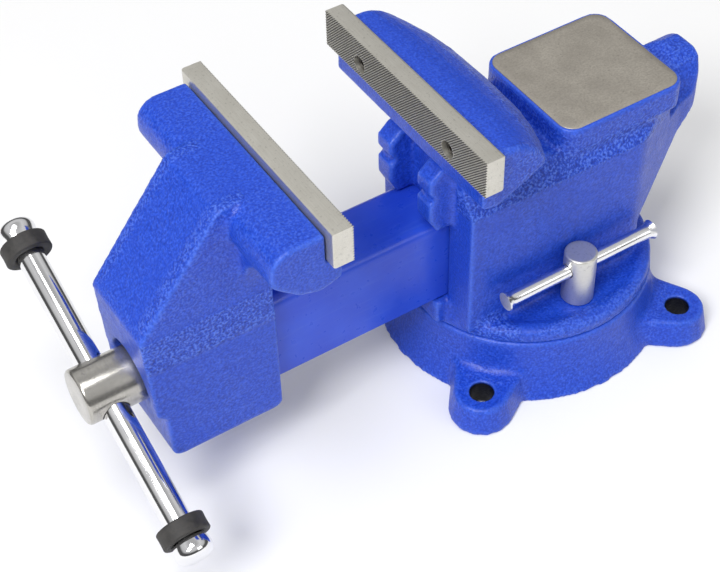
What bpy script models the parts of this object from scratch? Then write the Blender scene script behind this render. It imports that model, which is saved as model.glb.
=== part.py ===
"""A swivel-base bench vise, modelled as an assembly of separate pieces.

Metres, +Z up.  The origin is on the swivel axis, on the bench plane.  +X runs along the
spindle towards the tail, -X towards the handle, and +Y is the vise's far side.
"""
import math

import bmesh
import bpy
from mathutils import Matrix, Vector

GAP = 0.0003  # clearance left between pieces that rest on each other

# Jaws
JAW_WIDTH = 0.1143
JAW_TOP = 0.1585
PLATE_THICKNESS = 0.0092
PLATE_HEIGHT = 0.0173
JAW_OPENING = 0.0585
REAR_GRIP_X = -0.0656
FRONT_GRIP_X = REAR_GRIP_X - JAW_OPENING
WING_HALF = 0.053
WING_TOP = 0.1552
SIDE_HALF = 0.0335
BOX_HALF = 0.0213
SCREW_Y = 0.0316
SCREW_Z = 0.1472

# Spindle, slide bar and nut
SPINDLE_Z = 0.069
SPINDLE_FRONT_X = -0.2209
SPINDLE_REAR_X = 0.035
SPINDLE_HEAD_R = 0.0122
SHOULDER_X = -0.1856
THREAD_R = 0.008
BAR_HALF = 0.016
BAR_BOTTOM = 0.045
BAR_TOP = 0.0901
BAR_WALL = 0.0045
BAR_FRONT_X = -0.1717
BAR_REAR_X = 0.046

# Handle
HANDLE_X = -0.2096
HANDLE_R = 0.00575
HANDLE_TILT = math.radians(22.3)
RING_OFFSET = 0.0677
RING_HALF = 0.0037
CAP_END = 0.0808
CAP_R = 0.0082
BAR_END = 0.0786

# Swivel base and lock
BASE_TOP = 0.0305
DISC_BOTTOM = BASE_TOP + GAP
DISC_R = 0.0591
DISC_TOP = 0.038
DISH_TOP = 0.0357
SPIGOT_R = 0.018
SPIGOT_TOP = 0.0345
SLOT_MID_R = 0.0415
SLOT_NECK_HALF = 0.0042
SLOT_HALF = 0.0078
SLOT_NECK_Z = 0.0245
SLOT_FLOOR_Z = 0.0135
LUG_R = 0.0743
LUG_HOLE_R = 0.0055
LUG_TOP = 0.0140
BASE_TURN = math.radians(-4.0)
LOCK_Y = 0.0415
LOCK_BAR_Z = 0.0552
LOCK_BAR_HALF = 0.0402
LOCK_HEAD_R = 0.0073
LOCK_BAR_R = 0.0032
LOCK_FLARE_R = 0.0046

# Details that several pieces share
PLATE_BOTTOM = JAW_TOP - PLATE_HEIGHT
HEAD_SEAT = 0.0052
COUNTERBORE_X = -0.1830
PIN_X = -0.1475
NUT_BOLT_X = -0.032
BOSS_TOP = 0.0360
ANVIL_TOP = 0.1235
ANVIL_HALF = 0.0306
CROWN_POWER = 1.25  # how far the rear wing's crown falls inside a quarter ellipse

PARTS = "bench_vise"
CUTTERS = "bench_vise_cutters"


# ---------------------------------------------------------------- scene and materials

def clear_scene():
    for obj in list(bpy.data.objects):
        bpy.data.objects.remove(obj, do_unlink=True)
    for name in (PARTS, CUTTERS):
        group = bpy.data.collections.new(name)
        bpy.context.scene.collection.children.link(group)


def material(name, colour, roughness, metallic):
    mat = bpy.data.materials.new(name)
    mat.use_nodes = True
    shader = mat.node_tree.nodes["Principled BSDF"]
    shader.inputs["Base Color"].default_value = (*colour, 1.0)
    shader.inputs["Roughness"].default_value = roughness
    shader.inputs["Metallic"].default_value = metallic
    mat.diffuse_color = (*colour, 1.0)
    return mat


# ---------------------------------------------------------------- building helpers

def add_mesh(name, bm, group=CUTTERS):
    """Turn a bmesh into an object; it starts as a cutter, and keep() makes it a part."""
    mesh = bpy.data.meshes.new(name)
    bmesh.ops.recalc_face_normals(bm, faces=bm.faces)
    bm.to_mesh(mesh)
    bm.free()
    obj = bpy.data.objects.new(name, mesh)
    bpy.data.collections[group].objects.link(obj)
    obj.hide_render = True
    obj.display_type = "WIRE"
    return obj


def keep(obj, name, mat, smooth_angle=35):
    """Make obj a finished piece of the vise under its own name."""
    obj.name = name
    obj.data.name = name
    bpy.data.collections[CUTTERS].objects.unlink(obj)
    bpy.data.collections[PARTS].objects.link(obj)
    obj.hide_render = False
    obj.display_type = "TEXTURED"
    obj.data.materials.clear()
    obj.data.materials.append(mat)
    obj.data.shade_smooth()
    obj.data.set_sharp_from_angle(angle=math.radians(smooth_angle))
    return obj


def box(low, high, bevel=0.0, segments=2):
    """An axis-aligned block between two corners, with its upright and level edges rounded."""
    bm = bmesh.new()
    bmesh.ops.create_cube(bm, size=1.0)
    size = [b - a for a, b in zip(low, high)]
    middle = [(a + b) / 2 for a, b in zip(low, high)]
    bmesh.ops.scale(bm, vec=size, verts=bm.verts)
    bmesh.ops.translate(bm, vec=middle, verts=bm.verts)
    if bevel:
        bmesh.ops.bevel(bm, geom=bm.edges[:], offset=bevel, segments=segments,
                        affect="EDGES", profile=0.5)
    return add_mesh("block", bm)


def cylinder(radius, start, end, sides=24, end_radius=None):
    """A rod, or a cone, between two points."""
    start = Vector(start)
    along = Vector(end) - start
    bm = bmesh.new()
    turn = Vector((0, 0, 1)).rotation_difference(along).to_matrix().to_4x4()
    place = Matrix.Translation(start + along / 2) @ turn
    bmesh.ops.create_cone(bm, cap_ends=True, segments=sides, radius1=radius,
                          radius2=radius if end_radius is None else end_radius,
                          depth=along.length, matrix=place)
    return add_mesh("rod", bm)


def turned(profile, steps=32):
    """Spin a profile of (radius, height) pairs about Z with a Screw modifier."""
    mesh = bpy.data.meshes.new("profile")
    verts = [(r, 0.0, h) for r, h in profile]
    closed = profile[0][0] > 0 and profile[-1][0] > 0
    edges = [(i, i + 1) for i in range(len(verts) - 1)]
    if closed:
        edges.append((len(verts) - 1, 0))
    mesh.from_pydata(verts, edges, [])
    obj = bpy.data.objects.new("turned", mesh)
    bpy.data.collections[CUTTERS].objects.link(obj)
    spin = obj.modifiers.new("spin", "SCREW")
    spin.angle = math.tau
    spin.steps = steps
    spin.render_steps = steps
    spin.use_merge_vertices = True
    spin.merge_threshold = 0.00002
    spin.use_smooth_shade = True
    return bake(obj)


def bake(obj):
    """Replace obj with the mesh that its modifiers give, still in its own place."""
    graph = bpy.context.evaluated_depsgraph_get()
    mesh = bpy.data.meshes.new_from_object(obj.evaluated_get(graph))
    bm = bmesh.new()
    bm.from_mesh(mesh)
    bmesh.ops.remove_doubles(bm, verts=bm.verts, dist=0.000005)
    bmesh.ops.transform(bm, matrix=obj.matrix_world, verts=bm.verts)
    if bm.calc_volume(signed=True) < 0:
        bmesh.ops.reverse_faces(bm, faces=bm.faces)
    new = add_mesh(obj.name, bm)
    bpy.data.objects.remove(obj, do_unlink=True)
    return new


def stand(obj, place):
    """Move a mesh's points by a matrix, leaving its origin at the world's origin."""
    obj.data.transform(place)
    obj.data.update()
    return obj


def along_x(obj, x=0.0, z=0.0):
    """Lay a piece that was turned about +Z down along +X."""
    return stand(obj, Matrix.Translation((x, 0, z)) @ Matrix.Rotation(math.pi / 2, 4, "Y"))


def outline(points, steps=4):
    """Corner points (a, b) or (a, b, radius); a corner with a radius becomes an arc."""
    result = []
    count = len(points)
    for i, corner in enumerate(points):
        here = Vector(corner[:2])
        radius = corner[2] if len(corner) > 2 else 0.0
        if radius <= 0:
            result.append(here)
            continue
        before = (Vector(points[i - 1][:2]) - here).normalized()
        after = (Vector(points[(i + 1) % count][:2]) - here).normalized()
        half = before.angle(after) / 2
        reach = radius / math.tan(half)
        middle = here + (before + after).normalized() * (radius / math.sin(half))
        start = here + before * reach - middle
        finish = here + after * reach - middle
        sweep = start.angle_signed(finish)
        for k in range(steps + 1):
            turn = Matrix.Rotation(-sweep * k / steps, 2)
            result.append(middle + turn @ start)
    return result


def sheet(points, low, high, plane="XZ"):
    """Extrude a flat outline: XZ along Y, YZ along X or XY along Z, from low to high."""
    curve = bpy.data.curves.new("outline", "CURVE")
    curve.dimensions = "2D"
    curve.fill_mode = "BOTH"
    curve.extrude = (high - low) / 2
    spline = curve.splines.new("POLY")
    spline.points.add(len(points) - 1)
    for point, place in zip(spline.points, points):
        point.co = (place[0], place[1], 0.0, 1.0)
    spline.use_cyclic_u = True
    obj = bpy.data.objects.new("sheet", curve)
    bpy.data.collections[CUTTERS].objects.link(obj)
    middle = (low + high) / 2
    if plane == "XZ":
        obj.rotation_euler = (math.pi / 2, 0, 0)
        obj.location = (0, middle, 0)
    elif plane == "YZ":
        obj.rotation_euler = (math.pi / 2, 0, math.pi / 2)
        obj.location = (middle, 0, 0)
    else:
        obj.location = (0, 0, middle)
    bpy.context.view_layer.update()
    return bake(obj)


def soften(obj, width, segments=2, angle=40):
    """Round the sharper edges of a cast shape."""
    bevel = obj.modifiers.new("soften", "BEVEL")
    bevel.width = width
    bevel.segments = segments
    bevel.limit_method = "ANGLE"
    bevel.angle_limit = math.radians(angle)
    bevel.harden_normals = False
    return obj


def combine(obj, other, operation):
    mod = obj.modifiers.new(operation.lower(), "BOOLEAN")
    mod.operation = operation
    mod.solver = "EXACT"
    mod.object = other
    return obj


def join(obj, *others):
    for other in others:
        combine(obj, other, "UNION")
    return obj


def cut(obj, *others):
    for other in others:
        combine(obj, other, "DIFFERENCE")
    return obj


def meet(obj, other):
    return combine(obj, other, "INTERSECT")


def loft(sections):
    """Skin a row of closed loops with the same number of points, and cap both ends."""
    bm = bmesh.new()
    rings = [[bm.verts.new(p) for p in section] for section in sections]
    count = len(rings[0])
    for ring, following in zip(rings, rings[1:]):
        for i in range(count):
            j = (i + 1) % count
            bm.faces.new((ring[i], ring[j], following[j], following[i]))
    bm.faces.new(rings[0])
    bm.faces.new(rings[-1])
    return add_mesh("loft", bm)


def left_right(points):
    """Complete a cross-section (y, z) given on the +Y side with its mirror image."""
    return points + [(-p[0], *p[1:]) for p in reversed(points)]


def near_far(points):
    """Complete a plan (x, y) given on the +Y side with its mirror image."""
    return points + [(p[0], -p[1], *p[2:]) for p in reversed(points)]


def facing(x):
    """The place in the front jaw that matches x in the rear jaw, with the jaws as they rest."""
    return FRONT_GRIP_X + REAR_GRIP_X - x


def bar_tunnel(low_x, high_x):
    """Cutter for the passage that the slide bar fills, with its rounded top corners."""
    half = BAR_HALF + GAP
    section = outline(left_right([(half, BAR_TOP + GAP, 0.005), (half, BAR_BOTTOM - GAP)]))
    return sheet(section, low_x, high_x, "YZ")


def place_origin(obj, point):
    """Put an object's own origin on its joint's axis without moving its shape."""
    obj.data.transform(Matrix.Translation([-c for c in point]))
    obj.location = point
    return obj


def joint_empty(name, point, parent, pieces):
    """An empty on a joint's axis, which carries the pieces that move with it."""
    empty = bpy.data.objects.new(name, None)
    empty.empty_display_size = 0.03
    bpy.data.collections[PARTS].objects.link(empty)
    empty.location = point
    bpy.context.view_layer.update()
    for child in pieces:
        place_origin(child, point)
    bpy.context.view_layer.update()
    for child in pieces:
        child.parent = empty
        child.matrix_parent_inverse = empty.matrix_world.inverted()
    if parent:
        empty.parent = parent
        empty.matrix_parent_inverse = parent.matrix_world.inverted()
    bpy.context.view_layer.update()
    return empty


# ---------------------------------------------------------------- swivel base

def swivel_base(mat):
    """Round foot: outer flare, annular T-slot, centring spigot, four bolt lugs."""
    inner_neck = SLOT_MID_R - SLOT_NECK_HALF
    outer_neck = SLOT_MID_R + SLOT_NECK_HALF
    inner_slot = SLOT_MID_R - SLOT_HALF
    outer_slot = SLOT_MID_R + SLOT_HALF
    flare = [(0.0596 + 0.0069 * t ** 2, BASE_TOP - 0.0008 - (BASE_TOP - 0.0008) * t)
             for t in (0.0, 0.3, 0.55, 0.78, 1.0)]
    profile = [(0.0, SPIGOT_TOP), (SPIGOT_R, SPIGOT_TOP), (SPIGOT_R, BASE_TOP),
               (inner_neck, BASE_TOP), (inner_neck, SLOT_NECK_Z), (inner_slot, SLOT_NECK_Z),
               (inner_slot, SLOT_FLOOR_Z), (outer_slot, SLOT_FLOOR_Z),
               (outer_slot, SLOT_NECK_Z), (outer_neck, SLOT_NECK_Z), (outer_neck, BASE_TOP),
               (0.0588, BASE_TOP), *flare,
               (0.054, 0.0), (0.052, 0.007), (0.024, 0.007), (0.022, 0.0), (0.0, 0.0)]
    base = turned(profile, 48)
    for quarter in range(4):
        angle = BASE_TURN + math.radians(45 + 90 * quarter)
        join(base, bolt_lug(angle))
    for quarter in range(4):
        angle = BASE_TURN + math.radians(45 + 90 * quarter)
        x = LUG_R * math.cos(angle)
        y = LUG_R * math.sin(angle)
        cut(base, cylinder(LUG_HOLE_R, (x, y, -0.001), (x, y, 0.020), 16))
        cut(base, cylinder(0.0104, (x, y, LUG_TOP - 0.0004), (x, y, 0.0285), 16, 0.0118))
    return keep(base, "swivel_base", mat)


def bolt_lug(angle):
    """One ear of the base, a tapering tongue that runs out to its bolt hole."""
    levels = ((0.0, 0.0146, 0.0168, 0.0205), (0.0012, 0.0147, 0.0168, 0.0205),
              (LUG_TOP - 0.0012, 0.0124, 0.0150, 0.0195), (LUG_TOP, 0.0114, 0.0142, 0.0190))
    turns = [math.radians(-75 + 25 * k) for k in range(7)]
    sections = []
    for z, tip, waist, wide in levels:
        end = [(LUG_R + tip * math.cos(turn), tip * math.sin(turn), z) for turn in turns]
        sections.append([(0.0560, -wide, z), (0.0630, -waist, z), *end,
                         (0.0630, waist, z), (0.0560, wide, z)])
    return stand(loft(sections), Matrix.Rotation(angle, 4, "Z"))


# ---------------------------------------------------------------- rear (static) casting

def rear_casting(mat):
    """Fixed jaw, anvil, tail and swivel disc, all one casting."""
    casting = rear_core()
    join(casting, gusset(-0.0530, -0.0300, 0.0240, 0.0400), rear_wing(), anvil_block(),
         swivel_disc())
    toe = box((-0.0600, -0.0190, 0.0320), (-0.0500, 0.0190, BAR_BOTTOM - 0.0006), 0.0015)
    join(casting, toe)
    for side in (-1, 1):
        boss = (0.0, side * LOCK_Y, 0.0330)
        join(casting, cylinder(0.0125, boss, (boss[0], boss[1], BOSS_TOP), 28))
        y = sorted((side * 0.0095, side * 0.0200))
        join(casting, sheet(outline(pipe_jaw_profile()), *y))
    cut(casting, bar_tunnel(-0.080, 0.110))
    cut(casting, cylinder(0.0085, (NUT_BOLT_X, 0, 0.020), (NUT_BOLT_X, 0, 0.0385), 24))
    cut(casting, cylinder(0.0042, (NUT_BOLT_X, 0, 0.036), (NUT_BOLT_X, 0, 0.050), 16))
    for side in (-1, 1):
        cut(casting, cylinder(0.0042, (0, side * LOCK_Y, 0.020), (0, side * LOCK_Y, 0.050), 16))
        hole = (REAR_GRIP_X, side * SCREW_Y, SCREW_Z)
        cut(casting, cylinder(0.0027, hole, (-0.0420, hole[1], hole[2]), 12))
    return keep(casting, "rear_casting", mat)


def rear_core():
    """Central block with its neck and its crowned tail: side, plan and end views crossed."""
    side = outline([
        (-0.0530, 0.0353), (0.0410, 0.0353), (0.0410, 0.0535, 0.003),
        (0.0780, 0.0870, 0.006), (0.0880, 0.0905, 0.003), (0.0880, 0.1150, 0.0060),
        (0.0800, 0.1160, 0.006), (0.0690, 0.1122, 0.010), (-0.0060, 0.1122, 0.003),
        (-0.0145, 0.1160, 0.004), (-0.0195, 0.1250), (-0.0225, 0.1400), (-0.0530, 0.1400)])
    plan = outline(near_far([(-0.0600, SIDE_HALF), (0.0370, SIDE_HALF, 0.015),
                             (0.0700, 0.0185, 0.006), (0.0868, 0.0150, 0.0125)]))
    end = outline(left_right([(0.0235, 0.1500), (0.0240, 0.1180, 0.004), (0.0280, 0.1108),
                              (SIDE_HALF, 0.1015, 0.002), (SIDE_HALF, 0.0200)]))
    core = sheet(side, -0.045, 0.045)
    meet(core, sheet(plan, 0.010, 0.145, "XY"))
    meet(core, sheet(end, -0.070, 0.100, "YZ"))
    crown = left_right([(0.0400, 0.1300), (0.0400, 0.0900), (0.0160, 0.0995), (0.0135, 0.1065),
                        (0.0100, 0.1118), (0.0050, 0.1148)])
    cut(core, sheet(crown, 0.0600, 0.0950, "YZ"))
    return soften(bake(core), 0.0012, 1, 50)


def rear_wing():
    """The bar of metal behind the rear jaw plate: a loft along Y, deeper in the middle."""
    seat = REAR_GRIP_X + PLATE_THICKNESS + GAP
    sections = []
    for y in (-0.0530, -0.0515, -0.0440, -0.0340, -0.0220, 0.0,
              0.0220, 0.0340, 0.0440, 0.0515, 0.0530):
        lean = abs(y) / WING_HALF
        rear = -0.0330 + 0.0100 * (1 - lean ** 3)
        inset = 0.0010 if lean == 1 else 0.0
        depth = rear - inset + 0.0500
        height = WING_TOP - inset - 0.1400
        back = [(-0.0500 + depth * math.sin(math.radians(a)) ** CROWN_POWER,
                 0.1400 + height * math.cos(math.radians(a)) ** CROWN_POWER)
                for a in (0, 16, 32, 48, 64, 78, 89.99)]
        front = [(rear - 0.0100, 0.1345), (-0.0560, 0.1285), (-0.0622, 0.1295),
                 (-0.0630, 0.1308), (-0.0630, PLATE_BOTTOM - GAP),
                 (seat, PLATE_BOTTOM - GAP), (seat, WING_TOP - inset)]
        sections.append([(x, y, z) for x, z in back + front])
    return loft(sections)


def gusset(low_x, high_x, root, reach):
    """Fillets that carry a wing's overhanging ends down to its neck."""
    half = [(reach, 0.1360), (reach, 0.1330), (root + 0.0090, 0.1300), (root + 0.0040, 0.1250),
            (root + 0.0010, 0.1180), (root - 0.0010, 0.1100)]
    return sheet(left_right(half), low_x, high_x, "YZ")


def anvil_block():
    """Flat striking face behind the jaw."""
    plan = outline(near_far([(-0.0040, ANVIL_HALF, 0.008), (0.0604, ANVIL_HALF, 0.008)]))
    return soften(bake(sheet(plan, 0.1100, ANVIL_TOP, "XY")), 0.0008, 1, 60)


def swivel_disc():
    """Round flange that turns on the base: dished above, with a socket for its spigot."""
    socket_r = SPIGOT_R + GAP
    socket_top = SPIGOT_TOP + GAP
    profile = [(0.0, DISH_TOP), (0.0500, DISH_TOP), (0.0530, DISC_TOP - 0.0004),
               (0.0555, DISC_TOP), (0.0580, DISC_TOP - 0.0007), (DISC_R, DISC_TOP - 0.0020),
               (DISC_R, DISC_BOTTOM), (socket_r, DISC_BOTTOM), (socket_r, socket_top),
               (0.0, socket_top)]
    return turned(profile, 56)


def pipe_jaw_profile():
    """Side view of a cast-in pipe jaw: a toothed column with a notch at mid-height."""
    return [(-0.0500, 0.1260), (-0.0593, 0.1238), (-0.0649, 0.1188), (-0.0649, 0.1130),
            (-0.0626, 0.1100), (-0.0626, 0.1085), (-0.0649, 0.1072), (-0.0649, 0.0981),
            (-0.0612, 0.0909), (-0.0500, 0.0909)]


# ---------------------------------------------------------------- front (moving) casting

def front_casting(mat):
    """Moving jaw: the box that holds the slide bar, the sloping neck and the wing."""
    casting = front_core()
    join(casting, gusset(-0.1530, -0.1360, 0.0210, 0.0380), front_wing())
    column = [(facing(x), z) for x, z in pipe_jaw_profile()]
    column[0] = (-0.1450, 0.1260)
    column[-1] = (-0.1450, 0.0909)
    join(casting, sheet(outline(column), -0.0088, 0.0088))
    cut(casting, bar_tunnel(BAR_FRONT_X - GAP, -0.130))
    cut(casting, cylinder(0.0155, (-0.205, 0, SPINDLE_Z), (COUNTERBORE_X, 0, SPINDLE_Z), 32))
    cut(casting, cylinder(0.0090, (-0.190, 0, SPINDLE_Z), (-0.165, 0, SPINDLE_Z), 24))
    for side in (-1, 1):
        hole = (FRONT_GRIP_X, side * SCREW_Y, SCREW_Z)
        cut(casting, cylinder(0.0027, hole, (facing(-0.0420), hole[1], hole[2]), 12))
    return keep(casting, "front_casting", mat)


def front_core():
    """Box and sloping neck: the side view crossed with the end view."""
    side = outline([
        (-0.1336, WING_TOP), (-0.1600, WING_TOP, 0.0060), (-0.1990, 0.1053, 0.0015),
        (-0.1966, 0.0612), (-0.1928, 0.0575), (-0.1925, 0.0315, 0.007),
        (-0.1400, 0.0315, 0.005), (-0.1400, 0.1280), (-0.1336, 0.1300)])
    end = outline(left_right([(0.0205, 0.1560), (0.0208, 0.1050), (BOX_HALF, 0.0900),
                              (BOX_HALF, 0.0315, 0.003)]))
    core = sheet(side, -0.045, 0.045)
    meet(core, sheet(end, -0.210, -0.120, "YZ"))
    return soften(bake(core), 0.0013, 2, 50)


def front_wing():
    """The bar of metal behind the front jaw plate, with a bulging front."""
    seat = facing(REAR_GRIP_X + PLATE_THICKNESS + GAP)
    side = outline([
        (seat, WING_TOP), (seat, PLATE_BOTTOM - GAP), (facing(-0.0630), PLATE_BOTTOM - GAP),
        (facing(-0.0630), 0.1308, 0.001), (-0.1365, 0.1275, 0.004), (-0.1460, 0.1305, 0.008),
        (-0.1572, 0.1400, 0.006), (-0.1572, WING_TOP, 0.0095)])
    return soften(sheet(side, -WING_HALF, WING_HALF), 0.0012, 1, 50)


# ---------------------------------------------------------------- jaw plates and screws

def jaw_plate(name, grip_x, into, mat):
    """Hardened plate; into is +1 or -1, the way from its grip face to its casting."""
    back = grip_x + into * PLATE_THICKNESS
    low = (min(grip_x, back), -JAW_WIDTH / 2, PLATE_BOTTOM)
    high = (max(grip_x, back), JAW_WIDTH / 2, JAW_TOP)
    plate = box(low, high, 0.0006, 1)
    for side in (-1, 1):
        y = side * SCREW_Y
        outside = (grip_x - into * 0.001, y, SCREW_Z)
        cut(plate, cylinder(0.0039, outside, (grip_x + into * HEAD_SEAT, y, SCREW_Z), 20))
        cut(plate, cylinder(0.0027, outside, (grip_x + into * 0.011, y, SCREW_Z), 12))
    return keep(plate, name, mat)


def jaw_screw(name, grip_x, into, y, mat):
    """Socket-head screw that holds a jaw plate, its head sunk below the grip face."""
    top = grip_x + into * 0.0020
    seat = grip_x + into * (HEAD_SEAT - GAP)
    tip = grip_x + into * (PLATE_THICKNESS + 0.0130)
    screw = cylinder(0.0036, (top, y, SCREW_Z), (seat, y, SCREW_Z), 20)
    join(screw, cylinder(0.0024, (seat - into * 0.001, y, SCREW_Z), (tip, y, SCREW_Z), 12))
    socket = grip_x + into * 0.0038
    cut(screw, cylinder(0.0017, (grip_x, y, SCREW_Z), (socket, y, SCREW_Z), 6))
    return keep(screw, name, mat)


# ---------------------------------------------------------------- slide bar, spindle, nut

def slide_bar(mat):
    """Steel channel, open below, that carries the moving jaw through the body."""
    wall = BAR_HALF - BAR_WALL
    inner_top = BAR_TOP - 0.005
    section = outline(
        [(-BAR_HALF, BAR_BOTTOM), (-BAR_HALF, BAR_TOP, 0.005), (BAR_HALF, BAR_TOP, 0.005),
         (BAR_HALF, BAR_BOTTOM), (wall, BAR_BOTTOM), (wall, inner_top, 0.002),
         (-wall, inner_top, 0.002), (-wall, BAR_BOTTOM)])
    return keep(sheet(section, BAR_FRONT_X, BAR_REAR_X, "YZ"), "slide_bar", mat)


def spindle(mat):
    """Main screw: a turned head, a plain neck and the threaded shank."""
    head = SPINDLE_HEAD_R
    profile = [(0.0, SPINDLE_REAR_X), (THREAD_R - 0.0014, SPINDLE_REAR_X),
               (THREAD_R, SPINDLE_REAR_X - 0.0016), (THREAD_R, SHOULDER_X),
               (head, SHOULDER_X), (head, SPINDLE_FRONT_X + 0.0010),
               (head - 0.0010, SPINDLE_FRONT_X), (0.0, SPINDLE_FRONT_X)]
    screw = along_x(turned(profile, 32), z=SPINDLE_Z)
    middle = Vector((HANDLE_X, 0, SPINDLE_Z))
    reach = handle_direction() * 0.02
    cut(screw, cylinder(HANDLE_R + 0.00035, middle - reach, middle + reach, 24))
    pin = Vector((PIN_X, 0, SPINDLE_Z))
    rise = Vector((0, 0, 0.012))
    cut(screw, cylinder(0.0016, pin - rise, pin + rise, 12))
    return keep(screw, "spindle", mat)


def thrust_washer(mat):
    profile = [(0.0150, COUNTERBORE_X - GAP), (0.0150, SHOULDER_X + GAP),
               (0.0083, SHOULDER_X + GAP), (0.0083, COUNTERBORE_X - GAP)]
    return keep(along_x(turned(profile, 32), z=SPINDLE_Z), "thrust_washer", mat)


def retaining_washer(mat):
    profile = [(0.0110, -0.1494), (0.0110, -0.1514), (0.0083, -0.1514), (0.0083, -0.1494)]
    return keep(along_x(turned(profile, 28), z=SPINDLE_Z), "retaining_washer", mat)


def spindle_spring(mat):
    """Coil that keeps the moving jaw against the spindle's shoulder as the jaws open."""
    start, end = -0.1708, -0.1526
    turns, per_turn, radius = 4, 14, 0.0098
    curve = bpy.data.curves.new("coil", "CURVE")
    curve.dimensions = "3D"
    curve.bevel_depth = 0.0008
    curve.bevel_resolution = 1
    curve.use_fill_caps = True
    spline = curve.splines.new("POLY")
    count = turns * per_turn + 1
    spline.points.add(count - 1)
    for i, point in enumerate(spline.points):
        angle = math.tau * i / per_turn
        x = start + (end - start) * i / (count - 1)
        point.co = (x, radius * math.cos(angle), SPINDLE_Z + radius * math.sin(angle), 1.0)
    coil = bpy.data.objects.new("coil", curve)
    bpy.data.collections[CUTTERS].objects.link(coil)
    bpy.context.view_layer.update()
    return keep(bake(coil), "spindle_spring", mat)


def cotter_pin(mat):
    """Pin across the spindle that stops the washer and spring."""
    reach = 0.0096
    top = SPINDLE_Z + reach
    pin = cylinder(0.0012, (PIN_X, 0, SPINDLE_Z - reach), (PIN_X, 0, top), 10)
    join(pin, cylinder(0.0017, (PIN_X, 0, top - 0.0006), (PIN_X, 0, top + 0.0012), 10))
    return keep(pin, "cotter_pin", mat)


def main_nut(mat):
    """Block with the spindle's thread, standing on the body's floor inside the slide bar."""
    half = BAR_HALF - BAR_WALL - 0.0007
    nut = box((NUT_BOLT_X - 0.018, -half, BAR_BOTTOM),
              (NUT_BOLT_X + 0.018, half, BAR_TOP - 0.0060), 0.0012, 1)
    cut(nut, cylinder(THREAD_R + GAP, (-0.060, 0, SPINDLE_Z), (0.010, 0, SPINDLE_Z), 32))
    cut(nut, cylinder(0.0042, (NUT_BOLT_X, 0, 0.040), (NUT_BOLT_X, 0, 0.0575), 16))
    return keep(nut, "main_nut", mat)


def nut_bolt(mat):
    """Hex bolt that comes up through the body's floor into the main nut."""
    bolt = cylinder(0.0074, (NUT_BOLT_X, 0, 0.0315), (NUT_BOLT_X, 0, 0.0382), 6)
    join(bolt, cylinder(0.0038, (NUT_BOLT_X, 0, 0.0370), (NUT_BOLT_X, 0, 0.0570), 16))
    return keep(bolt, "nut_bolt", mat)


# ---------------------------------------------------------------- handle

def handle_direction():
    return Vector((0, math.cos(HANDLE_TILT), math.sin(HANDLE_TILT)))


def on_handle(obj, side=1):
    """Lay a piece turned about +Z along the handle; side -1 is the lower end."""
    turn = Vector((0, 0, 1)).rotation_difference(handle_direction() * side)
    place = Matrix.Translation((HANDLE_X, 0, SPINDLE_Z)) @ turn.to_matrix().to_4x4()
    return stand(obj, place)


def handle_bar(mat):
    profile = [(0.0, BAR_END), (HANDLE_R - 0.0008, BAR_END), (HANDLE_R, BAR_END - 0.0008),
               (HANDLE_R, 0.0008 - BAR_END), (HANDLE_R - 0.0008, -BAR_END), (0.0, -BAR_END)]
    return keep(on_handle(turned(profile, 24)), "handle_bar", mat)


def handle_cap(name, side, mat):
    """Cap pressed on one end of the handle: a bulging side and a nearly flat end."""
    base, corner = RING_OFFSET + RING_HALF + GAP, 0.0042
    inner, floor = HANDLE_R + GAP, BAR_END + 0.0004
    dome = [(CAP_R - corner + corner * math.cos(math.radians(a)),
             CAP_END - 0.0003 - corner + corner * math.sin(math.radians(a)))
            for a in (90, 72, 54, 36, 18, 0)]
    profile = [(0.0, CAP_END), *dome, (CAP_R - 0.0003, base + 0.0020), (CAP_R - 0.0011, base),
               (inner, base), (inner, floor), (0.0, floor)]
    return keep(on_handle(turned(profile, 28), side), name, mat)


def handle_ring(name, side, mat):
    """Rubber stop ring beside a cap."""
    low, high, outer = RING_OFFSET - RING_HALF, RING_OFFSET + RING_HALF, 0.0103
    inner = HANDLE_R + GAP
    profile = [(outer - 0.0010, high), (outer, high - 0.0010), (outer, low + 0.0010),
               (outer - 0.0010, low), (inner, low), (inner, high)]
    return keep(on_handle(turned(profile, 28), side), name, mat)


# ---------------------------------------------------------------- swivel lock

def lock_bolt(name, side, mat):
    """Swivel lock: a drilled head above the disc and a shank down into the T-slot."""
    y = side * LOCK_Y
    head = LOCK_HEAD_R
    profile = [(0.0, 0.0633), (head - 0.0007, 0.0633), (head, 0.0626), (head, BOSS_TOP + GAP),
               (0.0038, BOSS_TOP + GAP), (0.0038, 0.0150), (0.0, 0.0150)]
    bolt = stand(turned(profile, 28), Matrix.Translation((0, y, 0)))
    cut(bolt, cylinder(LOCK_BAR_R + GAP, (-0.01, y, LOCK_BAR_Z), (0.01, y, LOCK_BAR_Z), 20))
    return keep(bolt, name, mat)


def lock_bar(name, side, mat):
    """Sliding T-bar of a lock bolt, with one flared and one pinched end."""
    y = side * LOCK_Y
    half, radius = LOCK_BAR_HALF, LOCK_BAR_R
    flare, straight = LOCK_FLARE_R, LOCK_BAR_HALF - 0.0036
    profile = [(0.0, half), (flare, half), (flare, half - 0.0014), (radius, straight),
               (radius, -straight), (flare, 0.0014 - half), (flare, -half), (0.0, -half)]
    bar = stand(along_x(turned(profile, 20)), Matrix.Translation((0, y, LOCK_BAR_Z)))
    gap = box((half - 0.0040, y - 0.0009, LOCK_BAR_Z - 0.006),
              (half + 0.0010, y + 0.0009, LOCK_BAR_Z + 0.006))
    cut(bar, stand(gap, tilt_about((half, y, LOCK_BAR_Z), math.radians(60))))
    return keep(bar, name, mat)


def tilt_about(point, angle):
    """Rotation about a line along X through a point."""
    to = Matrix.Translation(point)
    return to @ Matrix.Rotation(angle, 4, "X") @ to.inverted()


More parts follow.
